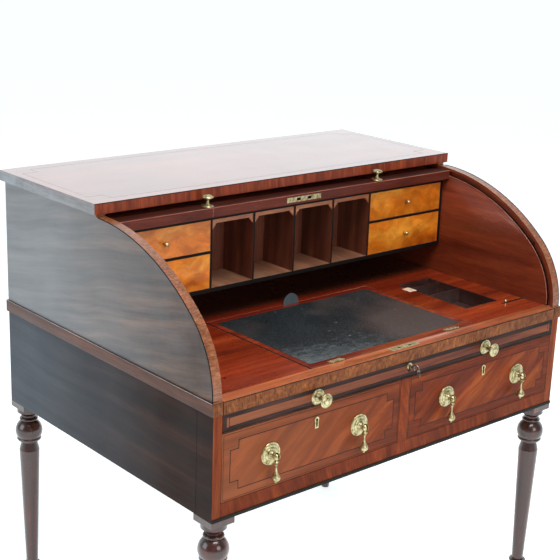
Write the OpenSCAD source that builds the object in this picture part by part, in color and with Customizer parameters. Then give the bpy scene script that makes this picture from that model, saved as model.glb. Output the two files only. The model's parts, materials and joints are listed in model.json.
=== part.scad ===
// Roll top desk on turned legs: a tambour runs in grooved bow sides and retires behind a shallow
// nest of pigeonholes; a writing slide with a leather slope pulls out over two deep drawers.
// Every part is placed from the carcass front (y = 0) and the floor (z = 0), then moved so that
// the origin is at the middle of the bounding box's underside.

/* [Overall] */
// Width over the sides of the desk
carcass_w = 1052; // [960:1:1200]
// Depth from the carcass front to the back boards
carcass_d = 783; // [770:1:860]
// Height of the writing surface
surface_h = 765; // [700:1:820]
// Height of the lower carcass, from its underside to the writing surface
lower_h = 251; // [230:1:300]
// Thickness of the side boards
side_t = 22; // [18:1:30]

/* [Top and bow sides] */
// Depth of the curved edge, from its foot to its crown
bow_d = 392; // [380:1:410]
// Height of the curved edge above the writing surface
bow_h = 277; // [268:1:290]
// Radius of the lower, tighter part of the curve
nose_r = 205; // [195:1:215]
// Set-back of the curve's foot from the carcass front
bow_setback = 3.5; // [2:0.5:8]
// Gap between the crown and the underside of the top
crown_gap = 6; // [4:1:10]
// Thickness of the top
top_t = 24; // [18:1:30]
// How far the top stands past each side
top_side_lap = 8; // [4:1:16]
// How far the top stands past the back boards
top_back_lap = 12; // [4:1:20]
// Thickness of the back boards
back_t = 14; // [10:1:18]

/* [Roll] */
// Width of the rim left outside the guide groove
rim_w = 7; // [6:0.5:9]
// Width of the guide groove
groove_w = 12; // [10:0.5:13]
// Depth of the guide groove
groove_depth = 7; // [5:1:10]
// Distance that the roll travels along its groove
roll_travel = 467.5; // [460:0.5:470]
// Height of the closed lip rail's edge above the writing surface
lip_lift = 3.5; // [3:0.5:5]
// Width of the lip rail
lip_w = 36; // [34:0.5:37]
// Thickness of the lip rail outside and inside the groove's centre line
lip_out = 8.5; // [7:0.5:9]
lip_in = 14; // [12:0.5:15]
// Gap between the lip rail and the first slats
lip_gap = 2; // [1.5:0.5:3]
// Width of one group of slats that turns as one
group_w = 47; // [46:0.5:48]
// Number of slats in a group
slats_in_group = 4; // [3:1:5]
// Thickness of the slats
slat_t = 7; // [5:0.5:8]
// Thickness of the canvas behind the slats
canvas_t = 1; // [0.6:0.2:1.4]
// Clearance at each end of the slats
roll_side_gap = 1; // [0.5:0.5:2]

/* [Nest] */
// Set-back of the nest's front from the carcass front
nest_y = 381; // [375:1:390]
// Depth of the nest with its back
nest_d = 112; // [100:1:114]
// Height of the open space under the nest
nest_gap = 72; // [60:1:90]
// Height of the nest
nest_h = 174; // [150:1:175]
// Thickness of the nest's bottom
nest_bottom_t = 10; // [8:1:12]
// Thickness of the nest's top and ends
nest_board_t = 8; // [6:1:10]
// Thickness of the partitions
partition_t = 5; // [4:0.5:7]
// Thickness of the nest's back
nest_back_t = 5; // [4:1:8]
// Height of a lower small drawer's opening
small_opening_h = 80; // [70:0.5:84]
// Thickness of the shelf between the small drawers
small_shelf_t = 6; // [4:0.5:8]
// Width of one pigeonhole with its partition
hole_pitch = 121.5; // [110:0.5:125]

/* [Writing slide] */
// Height of the slide's front, band and frieze together
slide_h = 66; // [60:1:70]
// Height of the waist band and of the slide's band
band_h = 27; // [22:1:32]
// How far the waist band stands proud
band_proud = 4; // [3:0.5:6]
// How far the slide's band stands proud
slide_band_proud = 3; // [2:0.5:4]
// Thickness of the slide's frieze
frieze_t = 19; // [15:1:22]
// Depth of the slide's top rail, from the front to the slope
slide_rail_d = 31; // [30:1:34]
// Depth of the writing slide
slide_d = 700; // [600:5:710]
// Thickness of the slide's top
slide_top_t = 18; // [16:1:22]
// Thickness of the slide's inner boards
slide_board_t = 10; // [8:1:14]
// Clearance around the slide and the drawers
run_gap = 1; // [0.5:0.5:2]
// Width and depth of the leather slope
slope_w = 498; // [420:1:510]
slope_d = 353; // [320:1:354]
// Thickness of the slope
slope_t = 14; // [12:1:16]
// Width of the slope's border around the leather, and of its front border
slope_border = 16; // [12:1:24]
slope_front_border = 23; // [18:1:28]
// Width of the ledge that the slope rests on
slope_ledge = 14; // [8:1:20]
// Thickness of the leather
leather_t = 1.6; // [1:0.2:2]

/* [Pen tray] */
// Left and front edges of the pen tray
tray_x = 322; // [300:1:340]
tray_y = 117; // [114:1:140]
// Width and length of the pen tray
tray_w = 115; // [90:1:120]
tray_l = 230; // [200:1:235]
// Depth and wall of the pen tray
tray_depth = 38; // [25:1:42]
tray_wall = 3; // [2:0.5:4]

/* [Lock and bolts] */
// Sideways place of the roll's lock
lock_x = 8; // [-20:1:20]
// Distance between the two lock bolts
bolt_pitch = 33; // [28:1:36]
// Lift of the lock bolts
bolt_lift = 9; // [6:0.5:10]
// Depth of the key below the writing surface
key_drop = 40; // [38:1:44]
// Distance of the side bolts from the front
side_bolt_y = 95; // [90:1:110]
// Length and width of a side bolt
side_bolt_l = 70; // [50:1:80]
side_bolt_w = 9; // [7:0.5:11]
// Thickness of a side bolt
side_bolt_t = 2.4; // [2:0.2:3]

/* [Drawers] */
// Height of the rail under the drawers
bottom_rail_h = 37; // [30:1:45]
// Width of the centre muntin
muntin_w = 27; // [24:1:36]
// Thickness of the drawer fronts and of the rails
front_t = 20; // [18:1:24]
// Depth of the drawers
drawer_d = 700; // [550:5:735]
// Thickness of the drawer sides and bottoms
drawer_side_t = 10; // [8:1:12]
drawer_bottom_t = 7; // [5:1:9]
// Thickness of the board between the slide and the drawers
dust_t = 9; // [6:0.5:9]
// Distance between a drawer's two handles
handle_pitch = 244; // [200:2:260]
// Thickness of the small drawers' fronts and of their sides
small_front_t = 10; // [8:1:12]
small_side_t = 5; // [4:0.5:6]

/* [Legs] */
// Width of the square block at the head of a leg
leg_block_w = 58; // [50:1:62]
// Height of that block
leg_block_h = 14; // [10:1:20]
// Radius of the turned ball
leg_ball_r = 32; // [26:1:34]

/* [Brass] */
// Radius of a large knob's head
knob_r = 15.5; // [12:0.5:17]
// Height of a large knob above its face
knob_h = 28; // [22:1:30]
// Height of a slide knob's centre above the slide's underside
knob_lift = 17.5; // [17:0.5:22]
// Radius of a lip knob's head
lip_knob_r = 13; // [10:0.5:13.5]
// Height of a lip knob
lip_knob_h = 25; // [20:1:27]
// Radius of a drop handle's back plate
drop_plate_r = 24; // [18:1:26]
// Length of a drop from its pivot
drop_l = 57; // [45:1:62]
// Distance of a drop's pivot from the drawer front
drop_reach = 19; // [17:1:22]

/* [Hidden] */
$fn = 48;

mahogany = "#6b3018";
dark_mahogany = "#431d10";
satinwood = "#d08a2e";
ebony = "#1c1512";
brass = "#c3b476";
leather = "#22282a";

inner_w = carcass_w - 2 * side_t;
half_in = inner_w / 2;
half_out = carcass_w / 2;
carcass_z = surface_h - lower_h;
top_z = surface_h + bow_h + crown_gap;
knob_front = -slide_band_proud - knob_h;
back_most = carcass_d + top_back_lap;
// Moves the carcass front so that the whole desk is centred on y = 0
front_y = -(knob_front + back_most) / 2;

// The curved edge is two arcs that meet smoothly: nose_r at the front, crown_r above it
crown_r = (bow_d * bow_d - 2 * bow_d * nose_r + bow_h * bow_h) / (2 * (bow_h - nose_r));
nose_c = [bow_setback + nose_r, 0];
crown_c = [bow_setback + bow_d, bow_h - crown_r];
meet_a = atan2(nose_c[1] - crown_c[1], nose_c[0] - crown_c[0]);

// The roll's centre line: the same two arcs set in, carried past the crown and then turned down
// behind the nest on a third arc
set_in = rim_w + groove_w / 2;
path_nose_r = nose_r - set_in;
path_crown_r = crown_r - set_in;
turn_y = nest_y + nest_d + 7;
turn_a = asin((turn_y - crown_c[0]) / path_crown_r);
turn_pt = crown_c + path_crown_r * [sin(turn_a), cos(turn_a)];
tail_y = carcass_d - back_t - 12;
path_tail_r = (tail_y - turn_pt[0]) / (1 - sin(turn_a));
tail_c = turn_pt - path_tail_r * [sin(turn_a), cos(turn_a)];
deg = 180 / PI;
nose_len = path_nose_r * (180 - meet_a) / deg;
crown_len = path_crown_r * (meet_a - 90 + turn_a) / deg;
groups = 10;
roll_start = lip_lift + lip_w + lip_gap;
roll_len = roll_start + groups * group_w;

// Angle of the path's outward normal, from +Y, at the distance s from its foot
function path_a(s) =
  s < nose_len ? 180 - s / path_nose_r * deg :
  s < nose_len + crown_len ? meet_a - (s - nose_len) / path_crown_r * deg :
  90 - turn_a - (s - nose_len - crown_len) / path_tail_r * deg;
// Place of the path at s, as [y, z above the writing surface]
function path_p(s) =
  let (a = path_a(s), dir = [cos(a), sin(a)])
  s < nose_len ? nose_c + path_nose_r * dir :
  s < nose_len + crown_len ? crown_c + path_crown_r * dir :
  tail_c + path_tail_r * dir;

slide_half = half_in - run_gap;
slide_under = surface_h - slide_h;
drawer_top = slide_under - run_gap - 1;
drawer_foot = carcass_z + bottom_rail_h + run_gap;
drawer_h = drawer_top - drawer_foot;
drawer_mid = (drawer_top + drawer_foot) / 2;
drawer_x0 = muntin_w / 2 + run_gap;
drawer_w = half_in - run_gap - drawer_x0;
drawer_x = drawer_x0 + drawer_w / 2;
dust_z = slide_under - run_gap - dust_t;
slope_front = slide_rail_d + run_gap;
slope_back = slope_front + slope_d;
opening_back = slope_back + 4;
well_floor = surface_h - slide_h + 4;
lip_mid = lip_lift + lip_w / 2;
// Where the closed lip rail's edge meets the lock, found from the closed lip's own frame
lip_edge_v = (lip_out - lip_in) / 2;
lip_tilt = path_a(lip_mid) - 90;
bolt_y = path_p(lip_mid)[0] - lip_w / 2 * cos(lip_tilt) - lip_edge_v * sin(lip_tilt);
nest_z = surface_h + nest_gap;
nest_floor = nest_z + nest_bottom_t;
nest_top_z = nest_z + nest_h;
nest_ceiling = nest_top_z - nest_board_t;
nest_half = half_in - nest_board_t;
shelf_z = nest_floor + small_opening_h;
holes_half = 2 * hole_pitch;
small_x0 = holes_half + partition_t / 2;
small_w = nest_half - small_x0;
small_gap = 0.6;

module seat() translate([0, front_y, 0]) children();

// A board cut to a [y, z] outline, from x0 towards +X
module board(x0, t) translate([x0, 0, 0]) rotate([90, 0, 90]) linear_extrude(t) children();

module box(x0, x1, y0, y1, z0, z1)
  translate([x0, y0, z0]) cube([x1 - x0, y1 - y0, z1 - z0]);

module both_sides() { children(); mirror([1, 0, 0]) children(); }

// The part of a disc at c that lies between the angles a0 and a1
module sector(c, r, a0, a1) {
  far = 2 * r;
  mid = (a0 + a1) / 2;
  intersection() {
    translate(c) circle(r, $fn = 180);
    polygon([c, c + far * [cos(a0), sin(a0)], c + far * [cos(mid), sin(mid)],
      c + far * [cos(a1), sin(a1)]]);
  }
}

module ring_sector(c, r, w, a0, a1)
  difference() {
    sector(c, r + w / 2, a0, a1);
    translate(c) circle(r - w / 2, $fn = 180);
  }

module bow_outline() {
  sector(nose_c, nose_r, meet_a - 12, 180);
  intersection() {
    sector(crown_c, crown_r, 90, meet_a);
    square([crown_c[0], bow_h + 1]);
  }
  translate([crown_c[0], 0]) square([carcass_d - crown_c[0], bow_h]);
  seat_y = crown_c[0] + 8;
  translate([seat_y, 0]) square([carcass_d - seat_y, bow_h + crown_gap]);
}

module guide_groove() {
  tail_a = path_a(roll_len + roll_travel) - 3;
  ring_sector(nose_c, path_nose_r, groove_w, meet_a, 181);
  ring_sector(crown_c, path_crown_r, groove_w, 90 - turn_a, meet_a);
  ring_sector(tail_c, path_tail_r, groove_w, tail_a, 90 - turn_a);
}

module upper_side()
  seat() translate([0, 0, surface_h]) difference() {
    board(half_in, side_t) bow_outline();
    board(half_in - 1, groove_depth + 1) guide_groove();
  }

module left_upper_side() color(mahogany) mirror([1, 0, 0]) upper_side();
module right_upper_side() color(mahogany) upper_side();

module top_board() color(mahogany) seat() {
  w = half_out + top_side_lap;
  box(-w, w, crown_c[0] + 1.5, back_most, top_z, top_z + top_t);
}

// A framed back: rails and stiles with panels let in
module framed_back(z0, z1, panels) {
  y0 = carcass_d - back_t;
  frame_w = 60;
  panel_t = 6;
  pitch = (2 * half_in - frame_w) / panels;
  difference() {
    box(-half_in, half_in, y0, carcass_d, z0, z1);
    for (i = [0 : panels - 1]) {
      x0 = -half_in + frame_w + i * pitch;
      box(x0, x0 + pitch - frame_w, y0 - 1, carcass_d + 1, z0 + frame_w, z1 - frame_w);
    }
  }
  for (i = [0 : panels - 1]) {
    x0 = -half_in + frame_w + i * pitch;
    box(x0, x0 + pitch - frame_w, y0 + 4, y0 + 4 + panel_t, z0 + frame_w, z1 - frame_w);
  }
}

module upper_back() color(dark_mahogany) seat() framed_back(surface_h, top_z, 3);
module lower_back() color(dark_mahogany) seat() framed_back(carcass_z, surface_h, 3);

module lower_side()
  seat() difference() {
    box(half_in, half_out, 0, carcass_d, carcass_z, surface_h);
    box(half_in - 1, half_in + 10, side_bolt_y - side_bolt_w / 2 - 0.5,
      side_bolt_y + side_bolt_w / 2 + 0.5, surface_h - side_bolt_t - 0.8, surface_h + 1);
  }

module left_lower_side() color(mahogany) mirror([1, 0, 0]) lower_side();
module right_lower_side() color(mahogany) lower_side();

module waist_band() color(mahogany) seat() {
  z0 = surface_h - band_h;
  both_sides() {
    box(half_out, half_out + band_proud, -slide_band_proud, carcass_d, z0, surface_h);
    box(half_in + run_gap, half_out, -slide_band_proud, 0, z0, surface_h);
  }
  box(-half_out - band_proud, half_out + band_proud, carcass_d, carcass_d + band_proud, z0, surface_h);
}

module bottom_rail() color(mahogany) seat()
  box(-half_in, half_in, 0, front_t, carcass_z, carcass_z + bottom_rail_h);

module centre_muntin() color(mahogany) seat()
  box(-muntin_w / 2, muntin_w / 2, 0, front_t, carcass_z + bottom_rail_h, dust_z + dust_t);

module dust_board() color(dark_mahogany) seat()
  box(-half_in, half_in, front_t + run_gap, carcass_d - back_t, dust_z, dust_z + dust_t);

module drawer_runners() color(dark_mahogany) seat() {
  z1 = carcass_z + bottom_rail_h;
  y1 = carcass_d - back_t;
  both_sides() box(half_in - 30, half_in, front_t, y1, z1 - 12, z1);
  box(-muntin_w / 2 - 26, muntin_w / 2 + 26, front_t, y1, z1 - 12, z1);
  box(-muntin_w / 2 + 2, muntin_w / 2 - 2, front_t, y1, z1, dust_z);
}

module leg() {
  z1 = carcass_z;
  ball_z = z1 - 74;
  ring_z = z1 - 94;
  foot_z = 34;
  translate([-leg_block_w / 2, -leg_block_w / 2, z1 - leg_block_h])
    cube([leg_block_w, leg_block_w, leg_block_h]);
  rotate_extrude() intersection() {
    translate([0, 0]) square([leg_block_w, z1 - leg_block_h]);
    union() {
      difference() {
        translate([0, z1 - 40]) square([leg_block_w / 2 - 2, 40]);
        translate([leg_block_w / 2 - 2 + 7, z1 - 41]) circle(17);
      }
      translate([0, z1 - 46]) square([17, 10]);
      translate([18, z1 - 44]) circle(4);
      translate([0, z1 - 48]) square([18, 8]);
      intersection() {
        translate([0, ball_z]) circle(leg_ball_r);
        translate([0, ball_z - 18]) square([leg_ball_r, 44]);
      }
      translate([24, ring_z]) circle(5);
      translate([0, ring_z - 5]) square([24, 10]);
      polygon([[0, ring_z], [19, ring_z], [19, ring_z - 10], [24, ring_z - 30],
        [14, foot_z + 50], [0, foot_z + 50]]);
      translate([17, foot_z + 46]) circle(4);
      translate([0, foot_z + 42]) square([17, 8]);
      polygon([[0, foot_z + 44], [13, foot_z + 44], [13, foot_z + 32], [18, foot_z + 20],
        [18, foot_z + 8], [11, 0], [0, 0]]);
    }
  }
}

leg_x = half_out - leg_block_w / 2;
module leg_at(x, y) color(dark_mahogany) seat() translate([x, y, 0]) leg();
module front_left_leg() leg_at(-leg_x, leg_block_w / 2);
module front_right_leg() leg_at(leg_x, leg_block_w / 2);
module back_left_leg() leg_at(-leg_x, carcass_d - leg_block_w / 2);
module back_right_leg() leg_at(leg_x, carcass_d - leg_block_w / 2);

module nest_top() color(dark_mahogany) seat()
  box(-nest_half, nest_half, nest_y, nest_y + nest_d, nest_ceiling, nest_top_z);

module nest_bottom() color(dark_mahogany) seat()
  box(-nest_half, nest_half, nest_y, nest_y + nest_d, nest_z, nest_floor);

module nest_uprights() color(dark_mahogany) seat() {
  y1 = nest_y + nest_d - nest_back_t;
  for (i = [-2 : 2])
    box(i * hole_pitch - partition_t / 2, i * hole_pitch + partition_t / 2, nest_y, y1,
      nest_floor, nest_ceiling);
  both_sides() {
    box(nest_half, half_in, nest_y, nest_y + nest_d, nest_z, nest_top_z);
    box(small_x0, nest_half, nest_y, y1, shelf_z, shelf_z + small_shelf_t);
  }
}

module nest_back() color(dark_mahogany) seat()
  box(-nest_half, nest_half, nest_y + nest_d - nest_back_t, nest_y + nest_d, nest_floor, nest_ceiling);

// One fretted valance: a strip with an ogee bracket at each end
module valance() {
  w = hole_pitch - partition_t;
  rotate([90, 0, 0]) linear_extrude(5) polygon([[0, 0], [w, 0], [w, -22], [w - 2.5, -22],
    [w - 5, -17], [w - 9, -14], [w - 12, -9], [12, -9], [9, -14], [5, -17], [2.5, -22], [0, -22]]);
}

module nest_valances() color(mahogany) seat()
  for (i = [-2 : 1])
    translate([i * hole_pitch + partition_t / 2, nest_y + 7, nest_ceiling]) valance();

// Puts a [along the path, outward] outline on the open roll, at s from the path's foot
module on_roll(s) {
  p = path_p(s + roll_travel);
  seat() translate([0, p[0], surface_h + p[1]]) rotate([path_a(s + roll_travel) - 90, 0, 0])
    children();
}

roll_half = half_in - roll_side_gap;
group_gap = 0.5;

module lip_rail() color(dark_mahogany) on_roll(lip_mid) difference() {
  board(-roll_half, 2 * roll_half) polygon([[-lip_w / 2, -lip_in], [lip_w / 2, -lip_in],
    [lip_w / 2, lip_out - 1], [lip_w / 2 - 1, lip_out], [-lip_w / 2 + 1.5, lip_out],
    [-lip_w / 2, lip_out - 1.5]]);
  strike_recess(0);
  for (side = [-1, 1]) box(lock_x + side * bolt_pitch / 2 - 7, lock_x + side * bolt_pitch / 2 + 7,
    -lip_w / 2 - 1, -lip_w / 2 + 13, lip_edge_v - 4, lip_edge_v + 4);
}

strike_l = 104;
strike_w = 12;
strike_t = 1.5;
module strike_recess(slack)
  box(lock_x - strike_l / 2 + slack, lock_x + strike_l / 2 - slack, -lip_w / 2 - (slack > 0 ? 0 : 1),
    -lip_w / 2 + strike_t, lip_edge_v - strike_w / 2 + slack, lip_edge_v + strike_w / 2 - slack);

module strike_plate() color(brass) on_roll(lip_mid) difference() {
  strike_recess(0.1);
  for (side = [-1, 1]) {
    x0 = lock_x + side * bolt_pitch / 2;
    box(x0 - 6, x0 + 6, -lip_w, 0, lip_edge_v - 3.2, lip_edge_v + 3.2);
    translate([lock_x + side * 42, 0, lip_edge_v]) rotate([90, 0, 0]) cylinder(h = lip_w, r = 1.6);
  }
}

// A mushroom knob on a stepped round plate, standing on z = 0
module mushroom(r, h)
  rotate_extrude() union() {
    square([r * 1.1, 1.8]);
    square([r * 0.72, 3.8]);
    square([r * 0.34, h - 4]);
    intersection() {
      translate([0, h - r * 1.25]) circle(r * 1.25);
      translate([0, h - r * 0.62]) square([r, r]);
    }
  }

module lip_knobs() color(brass) on_roll(lip_mid)
  both_sides() translate([drawer_x, 0, lip_out]) mushroom(lip_knob_r, lip_knob_h);

// One group: slats with eased edges, side by side on a strip of canvas
module slat_group(k) color(mahogany) on_roll(roll_start + (k - 0.5) * group_w) {
  slat_w = (group_w - 2 * group_gap) / slats_in_group;
  foot_in = 0.5;
  t0 = -(slat_t + canvas_t) / 2 + canvas_t;
  for (i = [0 : slats_in_group - 1]) {
    u0 = -group_w / 2 + group_gap + i * slat_w;
    u1 = u0 + slat_w - 0.2;
    left_in = i == 0 ? foot_in : 0;
    right_in = i == slats_in_group - 1 ? foot_in : 0;
    board(-roll_half, 2 * roll_half) polygon([[u0 + left_in, t0], [u1 - right_in, t0],
      [u1, t0 + slat_t - 2], [u1 - 1.6, t0 + slat_t], [u0 + 1.6, t0 + slat_t],
      [u0, t0 + slat_t - 2]]);
  }
  box(-roll_half + 20, roll_half - 20, -group_w / 2 + 1.4, group_w / 2 - 1.4, t0 - canvas_t, t0);
}

module slide_top() color(mahogany) seat() difference() {
  box(-slide_half, slide_half, slide_rail_d, slide_d, surface_h - slide_top_t, surface_h);
  box(-slope_w / 2 - run_gap, slope_w / 2 + run_gap, slide_rail_d - 1, opening_back,
    surface_h - slope_t - 0.3, surface_h + 1);
  box(-slope_w / 2 + slope_ledge, slope_w / 2 - slope_ledge, slide_rail_d - 1,
    slope_back - slope_ledge, surface_h - slide_top_t - 1, surface_h + 1);
  box(tray_x, tray_x + tray_w, tray_y, tray_y + tray_l, surface_h - slide_top_t - 1, surface_h + 1);
  both_sides() box(slide_half - side_bolt_l - 10, slide_half + 1, side_bolt_y - side_bolt_w / 2 - 0.4,
    side_bolt_y + side_bolt_w / 2 + 0.4, surface_h - side_bolt_t - 0.4, surface_h + 1);
}

module slide_carcase() color(dark_mahogany) seat() {
  z1 = surface_h - slide_top_t;
  t = slide_board_t;
  well_x = slope_w / 2 - slope_ledge;
  box(-slide_half, slide_half, frieze_t, slide_d, well_floor - 4, well_floor);
  both_sides() {
    box(slide_half - t, slide_half, frieze_t, slide_d, well_floor, z1);
    box(well_x, well_x + t, frieze_t, slope_back - slope_ledge, well_floor, z1);
  }
  box(-slide_half + t, slide_half - t, slide_d - t, slide_d, well_floor, z1);
  box(-well_x - t, well_x + t, slope_back - slope_ledge, slope_back - slope_ledge + t, well_floor, z1);
}

module slide_front() color(mahogany) seat() difference() {
  union() {
    box(-slide_half, slide_half, 0, frieze_t, slide_under, surface_h);
    box(-slide_half, slide_half, frieze_t, slide_rail_d, surface_h - slide_top_t, surface_h);
    box(-slide_half, slide_half, -slide_band_proud, 0, surface_h - band_h, surface_h);
  }
  lock_case_space(0.2);
  translate([lock_x, 0, surface_h - key_drop]) rotate([90, 0, 0]) cylinder(h = 40, r = 4, center = true);
}

lock_half = 34;
lock_y0 = bolt_y - 7.5;
lock_y1 = bolt_y + 7.5;
lock_z0 = surface_h - key_drop - 12;
selvage_half = 42;
selvage_t = 1.6;
module lock_case_space(gap) {
  box(lock_x - lock_half - gap, lock_x + lock_half + gap, lock_y0 - gap, lock_y1 + gap,
    lock_z0 - gap, surface_h - selvage_t);
  box(lock_x - selvage_half - gap, lock_x + selvage_half + gap, bolt_y - 9 - gap, bolt_y + 9 + gap,
    surface_h - selvage_t - gap, surface_h + 1);
}

bolt_w = 10;
bolt_t = 5;
module slide_lock() color(brass) seat() {
  difference() {
    union() {
      box(lock_x - lock_half, lock_x + lock_half, lock_y0, lock_y1, lock_z0, surface_h - selvage_t);
      box(lock_x - selvage_half, lock_x + selvage_half, bolt_y - 9, bolt_y + 9,
        surface_h - selvage_t, surface_h);
    }
    for (side = [-1, 1]) {
      x0 = lock_x + side * bolt_pitch / 2;
      box(x0 - bolt_w / 2 - 0.3, x0 + bolt_w / 2 + 0.3, bolt_y - bolt_t / 2 - 0.3,
        bolt_y + bolt_t / 2 + 0.3, surface_h - 35.3, surface_h + 1);
    }
    box(lock_x - bolt_pitch / 2, lock_x + bolt_pitch / 2, bolt_y - bolt_t / 2 - 0.3,
      bolt_y + bolt_t / 2 + 0.3, surface_h - 35.3, surface_h - 12);
    translate([lock_x, bolt_y + 5, surface_h - key_drop]) rotate([90, 0, 0]) cylinder(h = 10, r = 9.5);
    translate([lock_x, bolt_y, surface_h - key_drop]) rotate([90, 0, 0]) cylinder(h = 20, r = 2.9);
  }
  // The escutcheon in the frieze
  difference() {
    translate([lock_x, 0, surface_h - key_drop]) rotate([90, 0, 0]) cylinder(h = 1.6, r = 7.5);
    translate([lock_x, 1, surface_h - key_drop]) rotate([90, 0, 0]) cylinder(h = 5, r = 3.6);
  }
}

module lock_bolts() color(brass) seat() {
  for (side = [-1, 1]) {
    x0 = lock_x + side * bolt_pitch / 2;
    box(x0 - bolt_w / 2, x0 + bolt_w / 2, bolt_y - bolt_t / 2, bolt_y + bolt_t / 2,
      surface_h - 30, surface_h - 0.4);
  }
  box(lock_x - bolt_pitch / 2, lock_x + bolt_pitch / 2, bolt_y - bolt_t / 2, bolt_y + bolt_t / 2,
    surface_h - 30, surface_h - 23);
}

key_bow_r = 9;
module key() color(brass) seat() translate([lock_x, 0, surface_h - key_drop]) {
  shank_y = -slide_band_proud - knob_h + 2 * key_bow_r + 1;
  translate([0, bolt_y + 3.5, 0]) rotate([90, 0, 0]) cylinder(h = bolt_y + 3.5 - shank_y, r = 2.4);
  translate([0, shank_y - key_bow_r + 1, 0]) rotate([0, 90, 0])
    rotate_extrude() translate([key_bow_r - 2, 0]) circle(1.9);
  box(-1.5, 1.5, bolt_y - 3, bolt_y + 3, -8, 0);
}

module slide_knobs() color(brass) seat()
  both_sides() translate([drawer_x, 0, slide_under + knob_lift]) rotate([90, 0, 0])
    mushroom(knob_r, knob_h + slide_band_proud);

module pen_tray() color(dark_mahogany) seat() {
  z0 = surface_h - tray_depth;
  x1 = tray_x + tray_w;
  y1 = tray_y + tray_l;
  trough_l = 118;
  well_l = 66;
  scoop_r = 24;
  x_in = tray_x + tray_wall;
  x_out = x1 - tray_wall;
  difference() {
    box(tray_x, x1, tray_y, y1, z0, surface_h);
    difference() {
      box(x_in, x_out, tray_y + tray_wall, tray_y + tray_wall + trough_l, z0 + tray_wall, surface_h + 1);
      difference() {
        box(x_in - 1, x_out + 1, tray_y, tray_y + tray_wall + scoop_r, z0, z0 + tray_wall + scoop_r);
        translate([0, tray_y + tray_wall + scoop_r, z0 + tray_wall + scoop_r]) rotate([0, 90, 0])
          cylinder(h = 2 * half_out, r = scoop_r);
      }
    }
    box(x_in, x_out, tray_y + 2 * tray_wall + trough_l, tray_y + 2 * tray_wall + trough_l + well_l,
      z0 + tray_wall, surface_h + 1);
    box(x_in, x_out, tray_y + 3 * tray_wall + trough_l + well_l, y1 - tray_wall, z0 + tray_wall,
      surface_h + 1);
  }
}

module slope_board() color(mahogany) seat() difference() {
  box(-slope_w / 2, slope_w / 2, slope_front, slope_back, surface_h - slope_t, surface_h);
  box(-slope_w / 2 + slope_border, slope_w / 2 - slope_border, slope_front + slope_front_border,
    slope_back - slope_border, surface_h - leather_t, surface_h + 1);
  box(-tab_w / 2, tab_w / 2, slope_back - tab_t, slope_back + 1, surface_h - slope_t + 2, surface_h + 1);
}

module slope_leather() color(leather) seat()
  box(-slope_w / 2 + slope_border, slope_w / 2 - slope_border, slope_front + slope_front_border,
    slope_back - slope_border, surface_h - leather_t, surface_h);

tab_w = 46;
tab_h = 26;
tab_t = 2;
module slope_tab() color(leather) seat() translate([0, slope_back, surface_h])
  rotate([90, 0, 0]) linear_extrude(tab_t) intersection() {
    translate([0, tab_h - tab_w / 2]) circle(tab_w / 2);
    translate([-tab_w / 2, -slope_t + 2]) square([tab_w, slope_t - 2 + tab_h]);
  }

hinge_x = 178;
hinge_l = 38;
hinge_r = 1.8;
hinge_lift = 0.4;
module slope_hinges() color(brass) seat()
  both_sides() translate([hinge_x - hinge_l / 2, slope_front - run_gap / 2, surface_h]) {
    translate([0, 0, hinge_lift + hinge_r]) rotate([0, 90, 0]) cylinder(h = hinge_l, r = hinge_r);
    translate([0, run_gap / 2, 0]) cube([hinge_l, 12, 1.2]);
  }

module side_bolt() seat() {
  x1 = slide_half;
  z1 = surface_h - 0.3;
  box(x1 - side_bolt_l, x1, side_bolt_y - side_bolt_w / 2, side_bolt_y + side_bolt_w / 2,
    z1 - side_bolt_t, z1);
  translate([x1 - side_bolt_l + 6, side_bolt_y, z1 - 1]) {
    cylinder(h = 4, r = 1.8);
    translate([0, 0, 6]) sphere(r = 3.4);
  }
}

module left_side_bolt() color(brass) mirror([1, 0, 0]) side_bolt();
module right_side_bolt() color(brass) side_bolt();

// An open box: a bottom, four walls and a front of its own
module drawer_box(w, d, h, side, bottom)
  difference() {
    translate([-w / 2, 0, 0]) cube([w, d, h]);
    translate([-w / 2 + side, side, bottom]) cube([w - 2 * side, d - 2 * side, h]);
  }

module drawer() seat() translate([drawer_x, 0, drawer_foot]) {
  translate([-drawer_w / 2, 0, 0]) cube([drawer_w, front_t, drawer_h]);
  translate([0, front_t, 0]) drawer_box(drawer_w - 2, drawer_d - front_t, dust_z - drawer_foot - 3,
    drawer_side_t, drawer_bottom_t);
}

module left_drawer() color(mahogany) mirror([1, 0, 0]) drawer();
module right_drawer() color(mahogany) drawer();

escutcheon_drop = 36;
// The fixed brass on one drawer: two plates with slotted ball posts and pins, and an escutcheon
module fittings() seat() {
  for (side = [-1, 1])
    translate([drawer_x + side * handle_pitch / 2, 0, drawer_mid]) {
      rotate([90, 0, 0]) rotate_extrude() union() {
        square([drop_plate_r, 1.8]);
        square([drop_plate_r * 0.72, 3.4]);
        square([drop_plate_r * 0.4, 5.5]);
        square([4.5, drop_reach - 6.5]);
      }
      difference() {
        translate([0, -drop_reach, 0]) sphere(r = 8);
        box(-2.6, 2.6, -drop_reach - 10, -drop_reach + 5.6, -10, 10);
      }
      translate([-7.2, -drop_reach, 0]) rotate([0, 90, 0]) cylinder(h = 14.4, r = 1.6);
    }
  translate([drawer_x, 0, drawer_top - escutcheon_drop]) rotate([90, 0, 0]) linear_extrude(1.2)
    difference() {
      union() { translate([0, 6]) circle(6); translate([-4.5, -13]) square([9, 17]); }
      union() { translate([0, 6]) circle(3); translate([-1.5, -9]) square([3, 14]); }
    }
}

module left_drawer_fittings() color(brass) mirror([1, 0, 0]) fittings();
module right_drawer_fittings() color(brass) fittings();

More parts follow.
